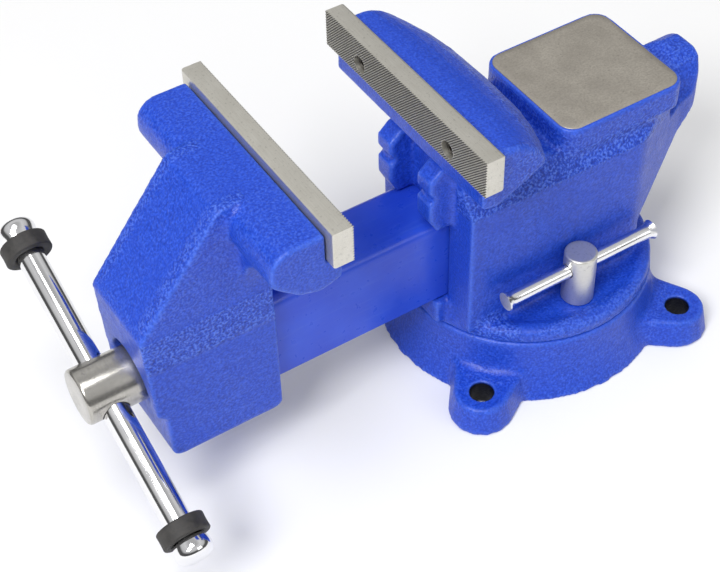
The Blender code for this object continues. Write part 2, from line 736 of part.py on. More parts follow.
def lock_shoe(name, side, mat):
    """Sliding nut in the base's T-slot that a lock bolt draws up."""
    inner, outer = sorted((side * 0.0342, side * 0.0475))
    shoe = box((-0.0090, inner, 0.0165), (0.0090, outer, SLOT_NECK_Z - GAP), 0.0008, 1)
    cut(shoe, cylinder(0.0042, (0, side * LOCK_Y, 0.010), (0, side * LOCK_Y, 0.030), 16))
    return keep(shoe, name, mat)


# ---------------------------------------------------------------- the whole vise

def build():
    clear_scene()
    blue = material("blue_paint", (0.020, 0.058, 0.62), 0.42, 0.0)
    ground = material("ground_steel", (0.55, 0.54, 0.50), 0.42, 1.0)
    bright = material("bright_steel", (0.60, 0.59, 0.57), 0.28, 1.0)
    chrome = material("chrome", (0.72, 0.72, 0.73), 0.12, 1.0)
    dark = material("black_steel", (0.06, 0.06, 0.065), 0.45, 0.9)
    iron = material("plain_iron", (0.16, 0.155, 0.15), 0.55, 0.9)
    rubber = material("rubber", (0.030, 0.030, 0.032), 0.75, 0.0)

    swivel_base(blue)
    fixed = [rear_casting(blue), jaw_plate("rear_jaw_plate", REAR_GRIP_X, 1, ground),
             main_nut(iron), nut_bolt(dark)]
    moving = [front_casting(blue), slide_bar(blue),
              jaw_plate("front_jaw_plate", FRONT_GRIP_X, -1, ground), thrust_washer(bright)]
    turning = [spindle(bright), spindle_spring(dark), retaining_washer(bright),
               cotter_pin(bright)]
    sliding = [handle_bar(chrome)]
    body = joint_empty("swivel_axis", (0, 0, 0), None, fixed)
    locks = []
    for side, word in ((-1, "near"), (1, "far")):
        fixed_screw = jaw_screw(f"rear_jaw_screw_{word}", REAR_GRIP_X, 1, side * SCREW_Y, dark)
        shoe = lock_shoe(f"lock_shoe_{word}", side, iron)
        locks.append((word, side, lock_bolt(f"lock_bolt_{word}", side, bright),
                      lock_bar(f"lock_bar_{word}", side, chrome)))
        moving.append(jaw_screw(f"front_jaw_screw_{word}", FRONT_GRIP_X, -1,
                                side * SCREW_Y, dark))
        for piece in (fixed_screw, shoe):
            piece.parent = body
    for side, word in ((-1, "lower"), (1, "upper")):
        sliding.append(handle_cap(f"handle_cap_{word}", side, chrome))
        sliding.append(handle_ring(f"handle_ring_{word}", side, rubber))
    jaw = joint_empty("jaw_slide", (FRONT_GRIP_X, 0, SPINDLE_Z), body, moving)
    screw = joint_empty("spindle_axis", (SHOULDER_X, 0, SPINDLE_Z), jaw, turning)
    joint_empty("handle_slide", (HANDLE_X, 0, SPINDLE_Z), screw, sliding)
    for word, side, bolt, bar in locks:
        axis = joint_empty(f"lock_axis_{word}", (0, side * LOCK_Y, LOCK_BAR_Z), body, [bolt])
        joint_empty(f"lock_bar_slide_{word}", (0, side * LOCK_Y, LOCK_BAR_Z), axis, [bar])


build()
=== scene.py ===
"""Looks for a swivel-base bench vise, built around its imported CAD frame.

Metres, +Z up, in the frame's own axes: the origin is on the swivel axis at the bench, +X runs
towards the tail and -Y is the near side.  The castings are re-skinned as fine meshes with cast
fillets and a sand-cast surface; plates, screws, spindle, handle and locks are modelled anew.
"""
import math

import bmesh
import bpy
import numpy as np
from mathutils import Matrix, Vector, noise


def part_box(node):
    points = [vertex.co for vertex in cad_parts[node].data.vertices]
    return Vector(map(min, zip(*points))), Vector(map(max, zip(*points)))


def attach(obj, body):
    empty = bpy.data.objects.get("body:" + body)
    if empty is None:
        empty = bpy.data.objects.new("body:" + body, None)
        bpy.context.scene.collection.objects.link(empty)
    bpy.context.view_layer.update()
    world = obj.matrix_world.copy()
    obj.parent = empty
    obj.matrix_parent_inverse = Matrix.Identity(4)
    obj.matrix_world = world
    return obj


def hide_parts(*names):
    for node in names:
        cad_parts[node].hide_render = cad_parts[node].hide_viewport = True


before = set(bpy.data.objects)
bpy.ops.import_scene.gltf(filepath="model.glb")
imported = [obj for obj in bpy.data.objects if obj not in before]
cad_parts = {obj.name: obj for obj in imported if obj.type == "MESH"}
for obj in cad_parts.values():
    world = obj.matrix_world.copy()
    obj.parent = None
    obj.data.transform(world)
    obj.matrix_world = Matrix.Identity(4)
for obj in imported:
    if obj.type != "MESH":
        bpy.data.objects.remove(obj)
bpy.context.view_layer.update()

# Driving sizes that several pieces share
ANVIL_TOP = 0.1235
SPINDLE_Z = 0.069
HANDLE_TILT = math.radians(22.3)
HANDLE_WAY = Vector((0, math.cos(HANDLE_TILT), math.sin(HANDLE_TILT)))
HANDLE_CENTRE = Vector((-0.2096, 0, SPINDLE_Z))
HANDLE_BORE_R = 0.0061
LOCK_Y = 0.0415
LOCK_BAR_Z = 0.0552
SCREW_Y = 0.0316
SCREW_Z = 0.1472
LUG_R = 0.0743
LUG_HOLE_R = 0.0058
BASE_TURN = math.radians(-4.0)
CAST_VOXEL = 0.00085
PASSAGE_HALF = 0.0195
PASSAGE_LOW, PASSAGE_HIGH = 0.0425, 0.0930

# ---------------------------------------------------------------- node-based materials


def set_stops(ramp, stops):
    """Fill a colour ramp from stops: (position, (r, g, b)) or (position, grey)."""
    while len(ramp.elements) < len(stops):
        ramp.elements.new(0.5)
    for element, (at, colour) in zip(ramp.elements, stops):
        grey = isinstance(colour, (int, float))
        element.position = at
        element.color = (colour,) * 3 + (1,) if grey else (*colour, 1)


class Nodes:
    """Short names for the shader nodes that the materials share."""

    def __init__(self, name):
        self.material = bpy.data.materials.new(name)
        self.material.use_nodes = True
        self.tree = self.material.node_tree
        self.shader = self.tree.nodes["Principled BSDF"]
        self.place = self.tree.nodes.new("ShaderNodeTexCoord").outputs["Object"]

    def link(self, output, socket):
        self.tree.links.new(output, socket)

    def stretch(self, scale):
        """The object's coordinates scaled apart along X, Y and Z."""
        node = self.tree.nodes.new("ShaderNodeMapping")
        node.inputs["Scale"].default_value = scale
        self.link(self.place, node.inputs["Vector"])
        return node.outputs["Vector"]

    def noise(self, size, detail=3.0, rough=0.5, vector=None):
        """Noise whose features are about size metres across."""
        node = self.tree.nodes.new("ShaderNodeTexNoise")
        node.inputs["Scale"].default_value = 1.0 / size
        node.inputs["Detail"].default_value = detail
        node.inputs["Roughness"].default_value = rough
        self.link(vector or self.place, node.inputs["Vector"])
        return node.outputs["Fac"]

    def attribute(self, name):
        """A value stored at each point of the mesh."""
        node = self.tree.nodes.new("ShaderNodeAttribute")
        node.attribute_name = name
        return node.outputs["Fac"]

    def ramp(self, value, stops):
        """Colours or greys along a value."""
        node = self.tree.nodes.new("ShaderNodeValToRGB")
        set_stops(node.color_ramp, stops)
        self.link(value, node.inputs["Fac"])
        return node.outputs["Color"]

    def mix(self, share, first, second):
        """From the first colour at a share of 0 to the second at 1."""
        node = self.tree.nodes.new("ShaderNodeMix")
        node.data_type = "RGBA"
        for socket, value in ((node.inputs["A"], first), (node.inputs["B"], second)):
            if isinstance(value, tuple):
                socket.default_value = (*value, 1)
            else:
                self.link(value, socket)
        self.link(share, node.inputs["Factor"])
        return node.outputs["Result"]

    def times(self, value, factor):
        """A value multiplied by a number or by another value."""
        node = self.tree.nodes.new("ShaderNodeMath")
        node.operation = "MULTIPLY"
        self.link(value, node.inputs[0])
        if isinstance(factor, float):
            node.inputs[1].default_value = factor
        else:
            self.link(factor, node.inputs[1])
        return node.outputs[0]

    def bump(self, height, strength, distance):
        """Bumps in the shading; each call adds to the bumps before it."""
        node = self.tree.nodes.new("ShaderNodeBump")
        node.inputs["Strength"].default_value = strength
        node.inputs["Distance"].default_value = distance
        self.link(height, node.inputs["Height"])
        before = self.shader.inputs["Normal"]
        if before.is_linked:
            self.link(before.links[0].from_socket, node.inputs["Normal"])
        self.link(node.outputs["Normal"], before)

    def set(self, values):
        """Constants straight on the shader's own sockets, by their names."""
        for name, value in values.items():
            self.shader.inputs[name].default_value = value


# Enamel and steel colours
BLUES = [(0.30, (0.005, 0.036, 0.370)), (0.50, (0.009, 0.058, 0.520)),
         (0.72, (0.026, 0.098, 0.680))]
PATCH_BLUE = (0.009, 0.054, 0.520)
# Edge colour: partly thinner enamel over the edges, partly a painted highlight where edges catch
# the light.
EDGE_BLUE = (0.070, 0.180, 0.780)
# Painted glints of light on rough specks.
GLINT_BLUE = (0.130, 0.260, 0.860)
# Painted shade, as in the pits of the rough casting.
PIT_SHADE_BLUE = (0.004, 0.022, 0.260)
# Painted shade, near black, inside the bolt holes.
HOLE_SHADE_BLACK = (0.006, 0.007, 0.016)
RUBBED_BLUE = (0.09, 0.17, 0.66)
# Painted shade, near black, in the jaw plates' serration valleys.
VALLEY_SHADE_BLACK = (0.030, 0.029, 0.026)


def cast_paint():
    """Glossy blue enamel over a sand casting, coarser where rough; painted highlights and shade.
    """
    n = Nodes("blue_paint")
    rough = n.attribute("grain")
    edge = n.attribute("edge")
    fine = n.noise(0.0010, 2.0, 0.50)
    coarse = n.noise(0.0011, 2.0, 0.50)
    body = n.ramp(fine, BLUES)
    patchy = n.ramp(n.noise(0.025, 2.0), [(0.35, 0.0), (0.7, 0.35)])
    body = n.mix(patchy, body, PATCH_BLUE)
    # Edges lighter: partly thinner enamel, partly a painted highlight on the edges.
    thin_paint_and_edge_highlight = n.ramp(edge, [(0.12, 0.0), (0.75, 1.0)])
    # Where the casting is rough: painted glints on some specks, painted shade as in pits on
    # others.
    glints = n.times(n.ramp(coarse, [(0.50, 0.0), (0.62, 1.0)]), rough)
    pit_shade = n.times(n.ramp(coarse, [(0.34, 1.0), (0.46, 0.0)]), rough)
    colour = n.mix(n.times(thin_paint_and_edge_highlight, 0.40), body, EDGE_BLUE)
    colour = n.mix(n.times(glints, 0.55), colour, GLINT_BLUE)
    colour = n.mix(n.times(pit_shade, 0.75), colour, PIT_SHADE_BLUE)
    # Painted shade: near black on the walls of the bolt holes.
    colour = n.mix(n.attribute("painted_shade"), colour, HOLE_SHADE_BLACK)
    n.link(colour, n.shader.inputs["Base Color"])
    n.link(n.ramp(n.noise(0.006), [(0.3, 0.34), (0.7, 0.46)]), n.shader.inputs["Roughness"])
    n.set({"Specular IOR Level": 0.38, "Coat Weight": 0.06, "Coat Roughness": 0.25})
    n.bump(fine, 0.9, 0.00022)
    n.bump(n.times(coarse, rough), 1.0, 0.0008)
    return n.material


def channel_paint():
    """The same enamel, smoother, over drawn steel."""
    n = Nodes("channel_paint")
    patchy = n.noise(0.03, 2.0)
    body = n.ramp(patchy, [(0.35, (0.014, 0.056, 0.560)), (0.65, (0.022, 0.080, 0.640))])
    streaks = n.noise(0.0016, 2.0, 0.5, n.stretch((0.08, 1.0, 1.0)))
    rubbed = n.ramp(streaks, [(0.55, 0.0), (0.75, 1.0)])
    colour = n.mix(n.times(rubbed, 0.20), body, RUBBED_BLUE)
    n.link(colour, n.shader.inputs["Base Color"])
    n.link(n.ramp(n.noise(0.004), [(0.3, 0.26), (0.7, 0.36)]), n.shader.inputs["Roughness"])
    n.set({"Specular IOR Level": 0.38, "Coat Weight": 0.12, "Coat Roughness": 0.18})
    n.bump(n.noise(0.0030, 3.0), 0.35, 0.00022)
    n.bump(streaks, 0.15, 0.00006)
    return n.material


def ground_steel(name, light, dark, along, roughness, serrated=False):
    """Ground steel: fine scratches along one way, faint mottling and small dark pits.

    The smallest number in along marks the scratches' way.  Serrated steel gets painted shade,
    near black, in its valleys."""
    n = Nodes(name)
    scratch = n.noise(0.00035, 2.0, 0.6, n.stretch(along))
    mottle = n.noise(0.012, 3.0, 0.5)
    pits = n.ramp(n.noise(0.0012, 3.0, 0.6), [(0.30, 1.0), (0.42, 0.0)])
    colour = n.mix(n.ramp(mottle, [(0.2, 0.35), (0.8, 1.0)]), dark, light)
    colour = n.mix(n.times(n.ramp(scratch, [(0.35, 0.0), (0.65, 1.0)]), 0.45),
                   colour, dark)
    colour = n.mix(n.times(pits, 0.35), colour, tuple(c * 0.45 for c in dark))
    if serrated:
        # Painted shade in the serration valleys.
        valley_shade = n.ramp(n.attribute("groove"), [(0.30, 0.0), (0.85, 1.0)])
        colour = n.mix(valley_shade, colour, VALLEY_SHADE_BLACK)
    n.link(colour, n.shader.inputs["Base Color"])
    n.link(n.ramp(scratch, [(0.3, roughness - 0.07), (0.7, roughness + 0.07)]),
           n.shader.inputs["Roughness"])
    n.set({"Metallic": 0.85})
    n.bump(scratch, 0.30, 0.00004)
    n.bump(n.noise(0.0008, 2.0), 0.15, 0.00005)
    return n.material


def chrome_plate(name, roughness):
    """Plated steel with a faint haze and wiping marks."""
    n = Nodes(name)
    haze = n.noise(0.012, 4.0, 0.6)
    wipe = n.noise(0.0012, 2.0, 0.5, n.stretch((1.0, 0.2, 0.2)))
    n.link(n.ramp(haze, [(0.3, (0.80, 0.80, 0.82)), (0.7, (0.88, 0.88, 0.89))]),
           n.shader.inputs["Base Color"])
    n.link(n.ramp(haze, [(0.35, roughness), (0.75, roughness + 0.10)]),
           n.shader.inputs["Roughness"])
    n.set({"Metallic": 1.0})
    n.bump(wipe, 0.10, 0.00003)
    return n.material


def rubber():
    """Dusty black rubber."""
    n = Nodes("rubber")
    dust = n.noise(0.004, 4.0, 0.7)
    n.link(n.ramp(dust, [(0.35, (0.022, 0.021, 0.021)), (0.75, (0.060, 0.056, 0.053))]),
           n.shader.inputs["Base Color"])
    n.link(n.ramp(dust, [(0.3, 0.55), (0.7, 0.78)]), n.shader.inputs["Roughness"])
    n.bump(n.noise(0.0007, 3.0), 0.5, 0.00008)
    return n.material


def plain_iron():
    """Unpainted cast iron under scale, rusty in places."""
    n = Nodes("plain_iron")
    scale = n.noise(0.0030, 4.0, 0.7)
    n.link(n.ramp(scale, [(0.3, (0.055, 0.050, 0.046)), (0.6, (0.15, 0.14, 0.13)),
                          (0.8, (0.16, 0.10, 0.06))]), n.shader.inputs["Base Color"])
    n.link(n.ramp(scale, [(0.3, 0.5), (0.7, 0.75)]), n.shader.inputs["Roughness"])
    n.set({"Metallic": 0.7})
    n.bump(n.noise(0.0012, 4.0, 0.7), 0.7, 0.00015)
    return n.material


def black_steel():
    """Blackened steel, worn a little."""
    n = Nodes("black_steel")
    wear = n.noise(0.0016, 3.0, 0.7)
    n.link(n.ramp(wear, [(0.3, (0.020, 0.019, 0.018)), (0.7, (0.075, 0.066, 0.055))]),
           n.shader.inputs["Base Color"])
    n.link(n.ramp(wear, [(0.3, 0.35), (0.7, 0.55)]), n.shader.inputs["Roughness"])
    n.set({"Metallic": 0.8})
    n.bump(n.noise(0.0006, 2.0), 0.3, 0.00004)
    return n.material


PAINT = cast_paint()
CHANNEL = channel_paint()
PLATE_STEEL = ground_steel("plate_steel", (0.72, 0.70, 0.64), (0.56, 0.54, 0.48),
                           (1.0, 0.04, 1.0), 0.40, serrated=True)
ANVIL_STEEL = ground_steel("anvil_steel", (0.60, 0.56, 0.49), (0.34, 0.31, 0.27),
                           (0.35, 0.45, 0.45), 0.50)
TURNED_STEEL = ground_steel("turned_steel", (0.56, 0.54, 0.50), (0.36, 0.35, 0.33),
                            (1.0, 0.04, 0.04), 0.20)
SATIN_STEEL = ground_steel("satin_steel", (0.74, 0.73, 0.69), (0.60, 0.59, 0.55),
                           (0.2, 0.2, 1.0), 0.36)
CHROME = chrome_plate("chrome", 0.06)
SATIN_CHROME = chrome_plate("satin_chrome", 0.16)
RUBBER = rubber()
IRON = plain_iron()
BLACK = black_steel()

# ---------------------------------------------------------------- mesh helpers

CUT_SMOOTH_ANGLE = 32


def new_object(name, bm, smooth_angle=35):
    """An object from a bmesh, shaded smooth where faces meet at less than smooth_angle."""
    mesh = bpy.data.meshes.new(name)
    bmesh.ops.recalc_face_normals(bm, faces=bm.faces)
    bm.to_mesh(mesh)
    bm.free()
    obj = bpy.data.objects.new(name, mesh)
    bpy.context.scene.collection.objects.link(obj)
    mesh.shade_smooth()
    mesh.set_sharp_from_angle(angle=math.radians(smooth_angle))
    return obj


def bake(obj):
    """Apply an object's modifiers to its own mesh."""
    graph = bpy.context.evaluated_depsgraph_get()
    mesh = bpy.data.meshes.new_from_object(obj.evaluated_get(graph))
    obj.modifiers.clear()
    old = obj.data
    obj.data = mesh
    bpy.data.meshes.remove(old)


def finish_piece(obj, body, slot, material, *nodes):
    """Give a finished piece its material, its CAD body and the nodes it stands for."""
    obj.data.materials.clear()
    obj.data.materials.append(material)
    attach(obj, body)
    if nodes:
        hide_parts(*nodes)


def arc(middle, radius, start, end, steps):
    """Points (a, b) on an arc, with angles in degrees."""
    turns = [math.radians(start + (end - start) * i / steps) for i in range(steps + 1)]
    return [(middle[0] + radius * math.cos(t), middle[1] + radius * math.sin(t)) for t in turns]


def bridge(bm, ring, following):
    """Faces between two rings of points; a ring of one point is a tip."""
    count = max(len(ring), len(following))
    for i in range(count):
        j = (i + 1) % count
        corners = [ring[i % len(ring)], ring[j % len(ring)],
                   following[j % len(following)], following[i % len(following)]]
        bm.faces.new(dict.fromkeys(corners))


def lofted(bm, rings):
    """A closed skin over a row of rings."""
    for ring, following in zip(rings, rings[1:]):
        bridge(bm, ring, following)
    bm.faces.new(rings[0][::-1])
    bm.faces.new(rings[-1])


def turned(profile, sides=96):
    """Bmesh of (radius, height) points spun about Z; points on the axis close the ends."""
    bm = bmesh.new()
    rings = []
    for radius, height in profile:
        if radius < 1e-7:
            rings.append([bm.verts.new((0, 0, height))])
            continue
        turns = [math.tau * i / sides for i in range(sides)]
        rings.append([bm.verts.new((radius * math.cos(t), radius * math.sin(t), height))
                      for t in turns])
    if len(rings[0]) > 1:
        rings.append(rings[0])
    for ring, following in zip(rings, rings[1:]):
        bridge(bm, ring, following)
    return bm


def placed(bm, matrix):
    """A bmesh moved by a matrix."""
    bmesh.ops.transform(bm, matrix=matrix, verts=bm.verts)
    return bm


def pointing(start, way):
    """Turns +Z along a way and moves to a start."""
    turn = Vector((0, 0, 1)).rotation_difference(way).to_matrix().to_4x4()
    return Matrix.Translation(start) @ turn


def cut(obj, bm_cutter):
    """Boolean difference with a cutter that is thrown away."""
    cutter = new_object("cutter", bm_cutter)
    mod = obj.modifiers.new("cut", "BOOLEAN")
    mod.operation = "DIFFERENCE"
    mod.solver = "EXACT"
    mod.object = cutter
    bake(obj)
    bpy.data.objects.remove(cutter, do_unlink=True)
    obj.data.shade_smooth()
    obj.data.set_sharp_from_angle(angle=math.radians(CUT_SMOOTH_ANGLE))


def rod(radius, start, end, sides=64):
    """Closed cylinder between two points, for cutting."""
    start = Vector(start)
    along = Vector(end) - start
    profile = [(0, 0), (radius, 0), (radius, along.length), (0, along.length)]
    return placed(turned(profile, sides), pointing(start, along))


# ---------------------------------------------------------------- castings


def read_mesh(mesh):
    """A mesh's points, and its faces as a flat array of quads (a triangle repeats a corner)."""
    points = np.empty(len(mesh.vertices) * 3)
    mesh.vertices.foreach_get("co", points)
    loops = np.empty(len(mesh.loops), dtype=np.int64)
    mesh.loops.foreach_get("vertex_index", loops)
    starts = np.empty(len(mesh.polygons), dtype=np.int64)
    mesh.polygons.foreach_get("loop_start", starts)
    totals = np.empty(len(mesh.polygons), dtype=np.int64)
    mesh.polygons.foreach_get("loop_total", totals)
    quads = np.stack([loops[starts + np.minimum(k, totals - 1)] for k in range(4)], axis=1)
    return points.reshape(-1, 3), quads


def spread(index, values, count):
    """Sum rows of values into count bins."""
    return np.stack([np.bincount(index, values[:, k], count) for k in range(3)], axis=1)


def point_normals(points, quads):
    """Unit normals at the points, weighted by the faces' areas."""
    a, b, c, d = (points[quads[:, k]] for k in range(4))
    face = np.cross(c - a, d - b)
    total = np.zeros_like(points)
    for k in range(4):
        total += spread(quads[:, k], face, len(points))
    return total / np.maximum(np.linalg.norm(total, axis=1, keepdims=True), 1e-12)


def neighbour_mean(points, edges, valence):
    """The mean of each point's neighbours; valence counts them."""
    first, second = edges[:, 0], edges[:, 1]
    total = spread(first, points[second], len(points))
    total += spread(second, points[first], len(points))
    return total / valence[:, None]


EDGE_ROUNDS = 5
SETTLE_ROUNDS = 4
WAVE_SIZE = 0.0034
SHALLOW_WAVE = 0.00004
GRAIN_WAVE = 0.00006
FAR_ABOVE = 1.0


def flow(points, quads, edges, fill, fill_rounds):
    """Round off a voxel skin: inner corners fill up to cast fillets where fill is above 0,
    and outer edges round off over the first few rounds, while the first rounds also settle the
    voxel steps everywhere.  Returns points, normals and how sharply outer edges bend."""
    valence = np.bincount(edges.ravel(), minlength=len(points)).astype(float)
    for step in range(fill_rounds):
        normals = point_normals(points, quads)
        pull = neighbour_mean(points, edges, valence) - points
        outward = (pull * normals).sum(axis=1)
        share = np.where(outward > 0, fill, 1.0 if step < EDGE_ROUNDS else 0.0)
        if step < SETTLE_ROUNDS:
            share = np.maximum(share, 0.6)
        points = points + pull * (0.5 * share)[:, None]
    normals = point_normals(points, quads)
    pull = neighbour_mean(points, edges, valence) - points
    for _ in range(2):
        pull = neighbour_mean(pull, edges, valence)
    return points, normals, -(pull * normals).sum(axis=1)


def waviness(points, size, seed):
    """Smooth noise in -1..1 at each point, with features of about size metres."""
    shift = Vector((seed * 13.7, seed * 7.1, seed * 3.3))
    return np.array([noise.noise(Vector(p) / size + shift) for p in points])


def add_attribute(mesh, name, values):
    """Store a value at each point for the material to read."""
    layer = mesh.attributes.new(name, "FLOAT", "POINT")
    layer.data.foreach_set("value", values.astype(np.float32))


def no_ceiling(points):
    """Nothing is cut down."""
    return np.full(len(points), FAR_ABOVE)


def no_painted_shade(points):
    """No painted shade anywhere."""
    return np.zeros(len(points))


def casting(name, node, body, fill, grain, wave, fill_rounds, seed,
            ceiling=no_ceiling, painted_shade=no_painted_shade):
    """Re-skin a CAD casting: fine voxel skin, fillets, then a sand-cast surface.

    fill, grain, wave, ceiling and painted_shade are functions of the points: where inner corners
    fill up, how coarse the paint's surface is, how deep the surface waves are, the greatest
    height and where painted shade darkens the paint."""
    obj = bpy.data.objects.new(name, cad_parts[node].data.copy())
    bpy.context.scene.collection.objects.link(obj)
    skin = obj.modifiers.new("skin", "REMESH")
    skin.mode = "VOXEL"
    skin.voxel_size = CAST_VOXEL
    bake(obj)
    points, quads = read_mesh(obj.data)
    edges = np.empty(len(obj.data.edges) * 2, dtype=np.int64)
    obj.data.edges.foreach_get("vertices", edges)
    edges = edges.reshape(-1, 2)
    points, normals, bend = flow(points, quads, edges, fill(points), fill_rounds)
    height = waviness(points, WAVE_SIZE, seed)
    height = height + 0.6 * waviness(points, WAVE_SIZE / 2, seed + 1)
    points = points + normals * (height * wave(points))[:, None]
    low, high = (np.array(c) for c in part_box(node))
    points = np.clip(points, low, high)
    points[:, 2] = np.minimum(points[:, 2], ceiling(points))
    obj.data.vertices.foreach_set("co", points.ravel())
    add_attribute(obj.data, "grain", grain(points))
    add_attribute(obj.data, "edge", np.clip(bend / (0.12 * CAST_VOXEL), 0, 1))
    add_attribute(obj.data, "painted_shade", painted_shade(points))
    obj.data.update()
    obj.data.shade_smooth()
    finish_piece(obj, body, "blue_paint", PAINT, node)


def near(flat, centre, radius, soft):
    """1 within radius of a centre, falling to 0 over soft; flat holds two of the coordinates."""
    gap = flat - np.array(centre)
    return np.clip((radius + soft - np.linalg.norm(gap, axis=1)) / soft, 0, 1)


def band(values, low, high, soft):
    """1 where values lie between low and high, with soft edges."""
    return np.clip((values - low) / soft, 0, 1) * np.clip((high - values) / soft, 0, 1)


SEAT_LOW = 0.139
DISC_SEAT_Z = 0.008
BENCH_EDGE_Z = 0.0012
PASSAGE_END_X = -0.1745
BORE_MOUTH_X = -0.160


def in_passage(points):
    """1 inside and on the walls of the slide bar's passage."""
    across = band(points[:, 1], -PASSAGE_HALF, PASSAGE_HALF, 0.001)
    return across * band(points[:, 2], PASSAGE_LOW, PASSAGE_HIGH, 0.001)


def in_bore(points, radius):
    """1 inside the front casting's spindle bore."""
    around = near(points[:, 1:], (0, SPINDLE_Z), radius, 0.001)
    return around * (points[:, 0] < BORE_MOUTH_X)


def rear_fill(points):
    """Fillets everywhere but in the passage, the plate's seat and the swivel disc."""
    seat = band(points[:, 0], -0.0580, -0.0545, 0.0005) * (points[:, 2] > SEAT_LOW)
    below = points[:, 2] < 0.0350
    return np.where(below, 0.0, 1.0 - np.maximum(in_passage(points), seat))


def rear_grain(points):
    """Coarse sand texture on the shoulder, the wing's back and the tail, finer elsewhere."""
    x, y, z = points.T
    shoulder = band(z, 0.1010, 0.1135, 0.0012) * (np.abs(y) > 0.0225)
    crest = band(z, 0.1300, 0.1520, 0.003) * (x > -0.048)
    rim = band(z, 0.1105, 0.1222, 0.001) * (x > -0.010) * 0.55
    foot = band(x, -0.0520, -0.0330, 0.002) * (z < 0.042) * 0.8
    wing_end = (np.abs(y) > 0.0500) * 0.5
    rest = 0.16 + 0.10 * band(z, 0.040, 0.060, 0.01)
    return np.maximum.reduce([shoulder, crest * 0.75, rim, foot, wing_end, rest])


def rear_ceiling(points):
    """The cast anvil stops just under its ground face."""
    on_anvil = (points[:, 0] > -0.0080) & (points[:, 2] > 0.1200)
    return np.where(on_anvil, ANVIL_TOP - 0.0004, FAR_ABOVE)


def rear_wave(points):
    """The passage, the anvil and the swivel disc are machined flat."""
    flat = (points[:, 2] > 0.1225) & (points[:, 0] > -0.010)
    still = np.maximum.reduce([in_passage(points), flat, points[:, 2] < 0.0345])
    return (1 - still) * (SHALLOW_WAVE + GRAIN_WAVE * rear_grain(points))


def front_fill(points):
    """Fillets everywhere but in the bore, the passage and the plate's seat."""
    x, z = points[:, 0], points[:, 2]
    passage = in_passage(points) * (x > PASSAGE_END_X)
    seat = band(x, -0.1360, -0.1330, 0.0005) * (z > SEAT_LOW)
    return 1.0 - np.maximum.reduce([in_bore(points, 0.0165), passage, seat])


def front_grain(points):
    """Coarse on the slope's edges, the shoulder above the box and around the front face."""
    x, y, z = points.T
    shoulder = band(z, 0.0860, 0.1060, 0.002) * (np.abs(y) > 0.0195)
    slope_edge = band(np.abs(y), 0.0120, 0.0230, 0.004) * (z > 0.1090) * (x < -0.1480)
    sides = (np.abs(y) > 0.0175) * (z > 0.1040) * 0.30
    nose = band(x, -0.2000, -0.1950, 0.001) * 0.35
    rest = np.full(len(points), 0.20)
    return np.maximum.reduce([shoulder, slope_edge * 0.75, sides, nose, rest])


def front_wave(points):
    """The bore and the passage are machined."""
    passage = in_passage(points) * (points[:, 0] > PASSAGE_END_X)
    still = np.maximum(in_bore(points, 0.0160), passage)
    return (1 - still) * (SHALLOW_WAVE + GRAIN_WAVE * front_grain(points))


def lug_centres():
    """The four bolt holes' places."""
    for quarter in range(4):
        angle = BASE_TURN + math.radians(45 + 90 * quarter)
        yield LUG_R * math.cos(angle), LUG_R * math.sin(angle)


def base_fill(points):
    """Fillets everywhere but under the swivel disc, in the bolt holes and at the bench."""
    keep = 1.0 - near(points[:, :2], (0, 0), 0.0565, 0.001) * (points[:, 2] > DISC_SEAT_Z)
    for centre in lug_centres():
        keep = keep * (1.0 - near(points[:, :2], centre, 0.0112, 0.0005))
    return keep * (points[:, 2] > BENCH_EDGE_Z)


def base_hole_shade(points):
    """Painted shade: the walls of the bolt holes are darkened to near black."""
    holes = [near(points[:, :2], centre, LUG_HOLE_R, 0.0003) for centre in lug_centres()]
    return np.maximum.reduce(holes) * band(points[:, 2], 0.0, 0.0132, 0.0006)


def base_grain(points):
    """Coarser around the foot's rim."""
    around = np.hypot(points[:, 0], points[:, 1])
    return np.maximum(0.20, 0.45 * band(around, 0.0640, 0.0700, 0.002))


def base_wave(points):
    """The disc's seat and the edge at the bench are flat."""
    inside = near(points[:, :2], (0, 0), 0.0578, 0.001) * (points[:, 2] > DISC_SEAT_Z)
    still = np.maximum(inside, points[:, 2] < BENCH_EDGE_Z)
    return (1 - still) * 0.00005


def castings():
    """The three painted castings, each with its own fillets and surface."""
    casting("rear_casting_skin", "rear_casting", "body", rear_fill, rear_grain, rear_wave,
            fill_rounds=40, seed=1, ceiling=rear_ceiling)
    casting("front_casting_skin", "front_casting", "front_jaw", front_fill, front_grain,
            front_wave, fill_rounds=34, seed=5)
    casting("swivel_base_skin", "swivel_base", "base", base_fill, base_grain, base_wave,
            fill_rounds=60, seed=9, painted_shade=base_hole_shade)


# ---------------------------------------------------------------- plates and their screws


def rounded_plan(low, high, radius):
    """Corner-rounded rectangle as (x, y) points, anticlockwise."""
    points = []
    corners = [(high[0], high[1], 0), (low[0], high[1], 90), (low[0], low[1], 180),
               (high[0], low[1], 270)]
    for x, y, start in corners:
        middle = (x - math.copysign(radius, x - (low[0] + high[0]) / 2),
                  y - math.copysign(radius, y - (low[1] + high[1]) / 2))
        points += arc(middle, radius, start, start + 90, 8)
    return points


def anvil_face():
    """The unpainted ground top of the anvil, standing a hair above the paint around it."""
    front, back, half, corner = -0.0026, 0.0590, 0.0292, 0.0070
    plan = rounded_plan((front, -half), (back, half), corner)
    middle = Vector(((front + back) / 2, 0.0))
    bm = bmesh.new()
    rings = []
    for inset, z in ((0.0, ANVIL_TOP - 0.0008), (0.0, ANVIL_TOP - 0.0003),
                     (0.0001, ANVIL_TOP - 0.0001), (0.0003, ANVIL_TOP), (0.004, ANVIL_TOP)):
        ring = []
        for point in plan:
            away = Vector(point) - middle
            here = middle + away * (1 - inset / away.length)
            ring.append(bm.verts.new((here.x, here.y, z)))
        rings.append(ring)
    lofted(bm, rings)
    obj = new_object("anvil_ground_face", bm, 50)
    finish_piece(obj, "body", "ground_steel", ANVIL_STEEL)


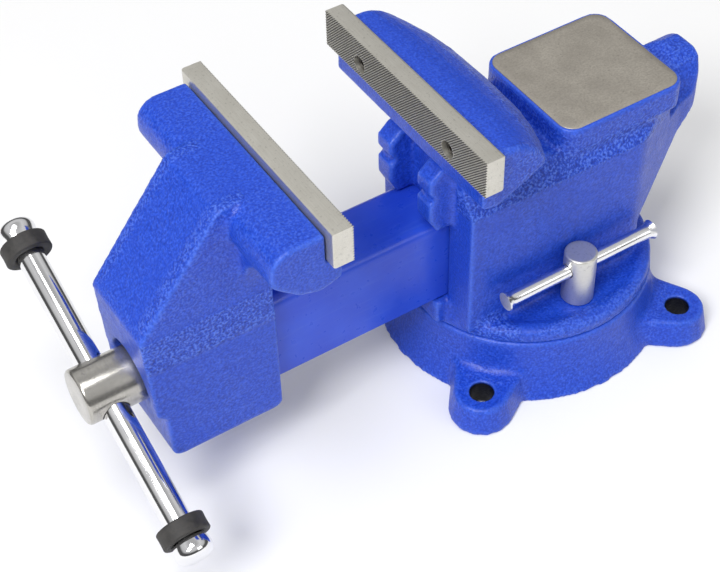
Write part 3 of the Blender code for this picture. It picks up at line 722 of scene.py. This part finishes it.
def jaw_plate(name, node, body, into):
    """Plate with a milled diamond pattern on its grip face; into is +X or -X from that face."""
    low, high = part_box(node)
    grip = low.x if into > 0 else high.x
    back = high.x if into > 0 else low.x
    shallow, deep, pitch = 0.00005, 0.00042, 0.00066
    columns = round((high.y - low.y) / pitch)
    rows = round((high.z - low.z) / pitch)
    bm = bmesh.new()
    groove = bm.verts.layers.float.new("groove")
    grid = []
    for j in range(rows + 1):
        z = low.z + (high.z - low.z) * j / rows
        line = []
        for i in range(columns + 1):
            y = low.y + (high.y - low.y) * i / columns
            sink = deep if (i + j) % 2 else shallow
            line.append(bm.verts.new((grip + into * sink, y, z)))
            line[-1][groove] = (i + j) % 2
        grid.append(line)
    for j in range(rows):
        for i in range(columns):
            a, b = grid[j][i], grid[j][i + 1]
            c, d = grid[j + 1][i + 1], grid[j + 1][i]
            if (i + j) % 2:
                bm.faces.new((a, b, c))
                bm.faces.new((a, c, d))
            else:
                bm.faces.new((a, b, d))
                bm.faces.new((b, c, d))
    rim = (grid[0] + [line[-1] for line in grid[1:]] + grid[-1][-2::-1]
           + [line[0] for line in grid[-2:0:-1]])
    for inset, x in ((0.0, grip + into * 0.0009), (0.0, back - into * 0.0012),
                     (0.00012, back - into * 0.0006), (0.0004, back - into * 0.00018),
                     (0.0011, back)):
        ring = [bm.verts.new((x, min(max(v.co.y, low.y + inset), high.y - inset),
                              min(max(v.co.z, low.z + inset), high.z - inset))) for v in rim]
        bridge(bm, rim, ring)
        rim = ring
    bm.faces.new(rim)
    plate = new_object(name, bm, 25)
    counterbore, hole = 0.0039, 0.0027
    for side in (-1, 1):
        y = side * SCREW_Y
        start = (grip - into * 0.002, y, SCREW_Z)
        cut(plate, rod(counterbore, start, (grip + into * 0.0052, y, SCREW_Z)))
        cut(plate, rod(hole, start, (back + into * 0.002, y, SCREW_Z)))
    finish_piece(plate, body, "ground_steel", PLATE_STEEL, node)


def jaw_screw(node, body, into, y):
    """Socket-head screw: eased head, hex socket and a threaded shank."""
    low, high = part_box(node)
    top, tip = (low.x, high.x) if into > 0 else (high.x, low.x)
    length = abs(tip - top)
    head, crest, root = 0.0029, 0.00235, 0.00200
    profile = [(0.0, 0.0), (0.0031, 0.0), (0.0036, 0.0004), (0.0036, head), (0.0024, head)]
    pitch = 0.0008
    for i in range(int((length - head - 0.0008) / pitch)):
        z = head + 0.0004 + i * pitch
        profile += [(crest, z), (root, z + pitch * 0.5)]
    profile += [(root, length - 0.0004), (root - 0.0004, length), (0.0, length)]
    turn = Matrix.Rotation(math.pi / 2 * into, 4, "Y")
    place = Matrix.Translation((top, y, SCREW_Z)) @ turn
    screw = new_object(node + "_detail", placed(turned(profile, 48), place), 30)
    socket = [(0, -0.0005), (0.0017, -0.0005), (0.0017, 0.0019), (0, 0.0024)]
    cut(screw, placed(turned(socket, 6), place))
    finish_piece(screw, body, "black_steel", BLACK, node)


def plates():
    """The anvil's face, both jaw plates and their four screws."""
    anvil_face()
    jaw_plate("rear_jaw_plate_serrated", "rear_jaw_plate", "body", 1)
    jaw_plate("front_jaw_plate_serrated", "front_jaw_plate", "front_jaw", -1)
    for side, word in ((-1, "near"), (1, "far")):
        jaw_screw(f"rear_jaw_screw_{word}", "body", 1, side * SCREW_Y)
        jaw_screw(f"front_jaw_screw_{word}", "front_jaw", -1, side * SCREW_Y)


# ---------------------------------------------------------------- slide bar and spindle


def slide_bar():
    """Drawn channel with rounded corners inside and out, and its cut ends eased."""
    low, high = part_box("slide_bar")
    half, top, wall, inner = high.y, high.z, 0.0045, 0.0050
    bend, crease = 0.005, 0.002
    section = [(-half + 0.0006, low.z), (-half, low.z + 0.0006)]
    section += arc((-half + bend, top - bend), bend, 180, 90, 10)
    section += arc((half - bend, top - bend), bend, 90, 0, 10)
    section += [(half, low.z + 0.0006), (half - 0.0006, low.z)]
    section += [(half - wall + 0.0004, low.z), (half - wall, low.z + 0.0004)]
    section += arc((half - wall - crease, top - inner - crease), crease, 0, 90, 5)
    section += arc((-half + wall + crease, top - inner - crease), crease, 90, 180, 5)
    section += [(-half + wall, low.z + 0.0004), (-half + wall - 0.0004, low.z)]
    bm = bmesh.new()
    rings = []
    stations = [low.x, low.x + 0.0005, low.x + 0.003]
    stations += [low.x + 0.003 + (high.x - low.x - 0.006) * i / 40 for i in range(1, 40)]
    stations += [high.x - 0.003, high.x - 0.0005, high.x]
    for x in stations:
        end = x in (low.x, high.x)
        ring = []
        for y, z in section:
            shrink = 0.0004 if end else 0.0
            y += -math.copysign(shrink, y) if abs(y) > half - wall / 2 else 0.0
            z += -shrink if z > top - inner / 2 else 0.0
            ring.append(bm.verts.new((x, y, z)))
        rings.append(ring)
    lofted(bm, rings)
    obj = new_object("slide_bar_channel", bm, 40)
    finish_piece(obj, "front_jaw", "blue_paint", CHANNEL, "slide_bar")


def spindle():
    """Turned head with an eased rim, a plain neck and the rolled thread."""
    low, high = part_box("spindle")
    head, ease, neck = 0.0122, 0.0015, 0.0080
    shoulder, neck_end, thread_end = -0.1856, -0.1430, high.x - 0.0030
    root, crest, pitch, run_in = 0.0064, 0.0078, 0.005, 0.006
    sides = 72
    stations = [(low.x, 0.0040), (low.x, 0.0085), (low.x + 0.0001, head - ease)]
    stations += arc((low.x + ease, head - ease), ease, 150, 90, 2)
    stations += [(shoulder - 0.0006, head), (shoulder - 0.0002, head - 0.0003),
                 (shoulder, head - 0.0008), (shoulder, 0.0090), (shoulder + 0.0006, neck),
                 (neck_end, neck)]
    bm = bmesh.new()
    rings = []

    def add_ring(x, radius_at):
        ring = []
        for k in range(sides):
            turn = math.tau * k / sides
            r = radius_at(turn)
            ring.append(bm.verts.new((x, r * math.cos(turn), SPINDLE_Z + r * math.sin(turn))))
        rings.append(ring)

    for x, radius in stations:
        add_ring(x, lambda turn, r=radius: r)
    steps = int((thread_end - neck_end) / (pitch / 10))
    for i in range(1, steps):
        x = neck_end + (thread_end - neck_end) * i / steps
        fade = min(1.0, (x - neck_end) / run_in)

        def thread(turn, x=x, fade=fade):
            phase = (x / pitch + turn / math.tau) % 1.0
            ridge = min(max(2.2 - abs(phase - 0.5) * 7.0, 0.0), 1.0)
            return crest + (neck - crest) * (1 - fade) - (crest - root) * (1 - ridge) * fade

        add_ring(x, thread)
    add_ring(high.x - 0.0018, lambda turn: root)
    add_ring(high.x, lambda turn: root - 0.0010)
    lofted(bm, rings)
    obj = new_object("spindle_turned", bm, 30)
    reach = HANDLE_WAY * 0.02
    cut(obj, rod(HANDLE_BORE_R, HANDLE_CENTRE - reach, HANDLE_CENTRE + reach))
    pin, pin_reach = Vector((-0.1475, 0, SPINDLE_Z)), Vector((0, 0, 0.012))
    cut(obj, rod(0.0016, pin - pin_reach, pin + pin_reach, 24))
    finish_piece(obj, "spindle", "bright_steel", TURNED_STEEL, "spindle")


# ---------------------------------------------------------------- handle


HANDLE_FIT_R = 0.00605


def handle():
    """Plated bar with a cap and a ring at each end."""
    radius, half = 0.00575, 0.0786
    stations = [(0.0, half), (radius - 0.0008, half), (radius - 0.0002, half - 0.0003),
                (radius, half - 0.0009)]
    stations += [(radius, half - 0.0009 - (2 * half - 0.0018) * i / 24) for i in range(1, 24)]
    stations += [(radius, 0.0009 - half), (radius - 0.0002, 0.0003 - half),
                 (radius - 0.0008, -half), (0.0, -half)]
    place = pointing(HANDLE_CENTRE, HANDLE_WAY)
    bar = new_object("handle_bar_plated", placed(turned(stations), place), 40)
    finish_piece(bar, "handle", "chrome", CHROME, "handle_bar")
    for side, word in ((1, "upper"), (-1, "lower")):
        handle_cap(f"handle_cap_{word}", side)
        handle_ring(f"handle_ring_{word}", side)


def handle_cap(node, side):
    """Pressed cap: a bulging side, a nearly flat end and a rolled mouth."""
    radius, end, mouth, inside = 0.0082, 0.0808, 0.0718, 0.0790
    corner, roll, inner = 0.0042, 0.0006, HANDLE_FIT_R
    profile = [(0.0, end), (0.0012, end - 0.00003), (0.0026, end - 0.00013)]
    profile += arc((radius - corner, end - 0.0003 - corner), corner, 90, 0, 15)
    profile += [(radius - 0.0001, mouth + 0.0030), (radius - 0.0004, mouth + 0.0018)]
    profile += arc((radius - 0.0013, mouth + roll), roll, 0, -90, 3)
    profile += [(inner + 0.0002, mouth), (inner, mouth + 0.0003), (inner, inside), (0.0, inside)]
    place = pointing(HANDLE_CENTRE, HANDLE_WAY * side)
    cap = new_object(node + "_pressed", placed(turned(profile), place), 40)
    finish_piece(cap, "handle", "chrome", CHROME, node)


def handle_ring(node, side):
    """Moulded rubber ring: squarish section, eased rims and a chamfered mouth."""
    middle, half, outer, inner, fillet = 0.0677, 0.0037, 0.0103, HANDLE_FIT_R, 0.0007
    profile = arc((outer - fillet, middle + half - fillet), fillet, 90, 0, 5)
    profile += [(outer - 0.0001, middle + 0.0006), (outer - 0.0001, middle - 0.0006)]
    profile += arc((outer - fillet, middle - half + fillet), fillet, 0, -90, 5)
    profile += [(inner + 0.0012, middle - half), (inner + 0.0004, middle - half + 0.0004),
                (inner, middle - half + 0.0013), (inner, middle + half - 0.0013),
                (inner + 0.0004, middle + half - 0.0004), (inner + 0.0012, middle + half)]
    place = pointing(HANDLE_CENTRE, HANDLE_WAY * side)
    ring = new_object(node + "_moulded", placed(turned(profile), place), 40)
    finish_piece(ring, "handle", "rubber", RUBBER, node)


# ---------------------------------------------------------------- swivel locks


def lock_bolt(node, side):
    """Drilled head with an eased rim, an undercut and a threaded shank."""
    low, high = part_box(node)
    head, ease, shank, seat = 0.0073, 0.0009, 0.0038, 0.0363
    profile = [(0.0, high.z - 0.0001), (head - 0.0016, high.z)]
    profile += arc((head - ease, high.z - ease), ease, 90, 0, 3)
    profile += [(head, 0.0600), (head, 0.0520), (head, 0.0440), (head, seat + 0.0006),
                (head - 0.0005, seat), (shank + 0.0008, seat), (shank, seat - 0.0006)]
    pitch, z = 0.0013, 0.0320
    while z > low.z + 0.0020:
        profile += [(shank, z), (shank - 0.0006, z - pitch / 2)]
        z -= pitch
    profile += [(shank - 0.0003, low.z + 0.0006), (shank - 0.0009, low.z), (0.0, low.z)]
    place = Matrix.Translation((0, side * LOCK_Y, 0))
    bolt = new_object(node + "_turned", placed(turned(profile), place), 30)
    centre, reach = Vector((0, side * LOCK_Y, LOCK_BAR_Z)), Vector((0.01, 0, 0))
    cut(bolt, rod(0.0035, centre - reach, centre + reach))
    finish_piece(bolt, node, "bright_steel", SATIN_STEEL, node)


def lock_bar(node, side):
    """T-bar: one end upset into a flat head, the other slit and spread."""
    half, radius, flare, flat = 0.0402, 0.0032, 0.0046, 0.0024
    trumpet = [(flare - 0.0004, half - 0.0001), (flare, half - 0.0005),
               (flare - 0.0003, half - 0.0012), (flare - 0.0009, half - 0.0022),
               (radius + 0.0002, half - 0.0032), (radius, half - 0.0044)]
    profile = [(0.0, half), (flat, half)] + trumpet
    profile += [(radius, half - 0.0044 - (2 * half - 0.0088) * i / 12) for i in range(1, 12)]
    profile += [(r, -z) for r, z in reversed(trumpet)] + [(flat, -half), (0.0, -half)]
    place = Matrix.Translation((0, side * LOCK_Y, LOCK_BAR_Z)) @ Matrix.Rotation(
        math.pi / 2, 4, "Y")
    bar = new_object(node + "_formed", placed(turned(profile, 64), place), 35)
    slit = bmesh.new()
    bmesh.ops.create_cube(slit, size=1.0)
    bmesh.ops.scale(slit, vec=(0.0066, 0.0016, 0.012), verts=slit.verts)
    for vert in slit.verts:
        if vert.co.x > 0:
            vert.co.y *= 1.7
    tilt = Matrix.Translation((half, side * LOCK_Y, LOCK_BAR_Z)) @ Matrix.Rotation(
        math.radians(60), 4, "X")
    cut(bar, placed(slit, tilt))
    finish_piece(bar, node, "chrome", SATIN_CHROME, node)
    bar.data.materials.append(SATIN_STEEL)
    for face in bar.data.polygons:
        if abs(face.normal.x) > 0.95 and abs(face.center.x) > half - 0.0005:
            face.material_index = 1


def locks():
    """Both swivel locks, each a bolt and its T-bar."""
    for side, word in ((-1, "near"), (1, "far")):
        lock_bolt(f"lock_bolt_{word}", side)
        lock_bar(f"lock_bar_{word}", side)


# ---------------------------------------------------------------- carried-over CAD pieces


def carried_over():
    """Hidden pieces keep their CAD shape and take a worked material."""
    looks = {"main_nut": IRON, "lock_shoe_near": IRON, "lock_shoe_far": IRON, "nut_bolt": BLACK,
             "spindle_spring": BLACK, "thrust_washer": TURNED_STEEL,
             "retaining_washer": TURNED_STEEL, "cotter_pin": TURNED_STEEL}
    for node, material in looks.items():
        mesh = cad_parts[node].data
        mesh.materials.clear()
        mesh.materials.append(material)


# ---------------------------------------------------------------- stage, light and camera


def floor():
    """Plain pale floor, a hair under the foot."""
    bm = bmesh.new()
    bmesh.ops.create_grid(bm, x_segments=1, y_segments=1, size=3.0)
    obj = new_object("floor", bm)
    n = Nodes("studio_floor")
    n.link(n.ramp(n.noise(0.4, 2.0), [(0.3, 0.90), (0.7, 0.93)]), n.shader.inputs["Base Color"])
    n.set({"Roughness": 0.9})
    obj.data.materials.append(n.material)
    obj.location = (0, 0, -0.0002)


def area_light(name, place, target, size, power):
    """Square soft light at a place, facing a target."""
    lamp = bpy.data.lights.new(name, "AREA")
    lamp.shape = "SQUARE"
    lamp.size = size
    lamp.energy = power
    obj = bpy.data.objects.new(name, lamp)
    bpy.context.scene.collection.objects.link(obj)
    obj.location = place
    obj.rotation_euler = (Vector(target) - Vector(place)).to_track_quat("-Z", "Y").to_euler()


def lights():
    """A pale room, brightest towards the upper walls, and three soft lights."""
    world = bpy.data.worlds.new("studio")
    world.use_nodes = True
    tree = world.node_tree
    way = tree.nodes.new("ShaderNodeTexCoord")
    split = tree.nodes.new("ShaderNodeSeparateXYZ")
    ramp = tree.nodes.new("ShaderNodeValToRGB")
    tree.links.new(way.outputs["Generated"], split.inputs["Vector"])
    tree.links.new(split.outputs["Z"], ramp.inputs["Fac"])
    set_stops(ramp.color_ramp, [(0.0, 0.10), (0.30, 0.08), (0.48, 0.55), (0.80, 0.68),
                                (0.95, 0.45)])
    tree.links.new(ramp.outputs["Color"], tree.nodes["Background"].inputs["Color"])
    bpy.context.scene.world = world
    middle = (-0.05, 0.0, 0.08)
    area_light("key", (-1.35, -0.70, 1.60), middle, 0.7, 27.0)
    area_light("overhead", (-0.60, -0.30, 2.30), middle, 0.8, 14.0)
    area_light("fill", (0.70, -1.90, 1.10), middle, 1.0, 6.0)


def camera():
    """Looks down from the near left, about 46 degrees above the bench."""
    yaw, pitch, roll = 1.0236, -0.8061, -0.0302
    forward = Vector((math.cos(pitch) * math.cos(yaw), math.cos(pitch) * math.sin(yaw),
                      math.sin(pitch)))
    right = Vector((math.sin(yaw), -math.cos(yaw), 0))
    up = right.cross(forward)
    right, up = (math.cos(roll) * right + math.sin(roll) * up,
                 math.cos(roll) * up - math.sin(roll) * right)
    place = Matrix((right, up, -forward)).transposed().to_4x4()
    place.translation = (-0.3486, -0.4286, 0.5795)
    lens = bpy.data.cameras.new("camera")
    lens.sensor_width = 36.0
    lens.lens = 83.85
    lens.clip_start = 0.01
    obj = bpy.data.objects.new("camera", lens)
    bpy.context.scene.collection.objects.link(obj)
    obj.matrix_world = place
    bpy.context.scene.camera = obj


castings()
plates()
slide_bar()
spindle()
handle()
locks()
carried_over()
floor()
lights()
camera()
bpy.context.scene.view_settings.view_transform = "Standard"
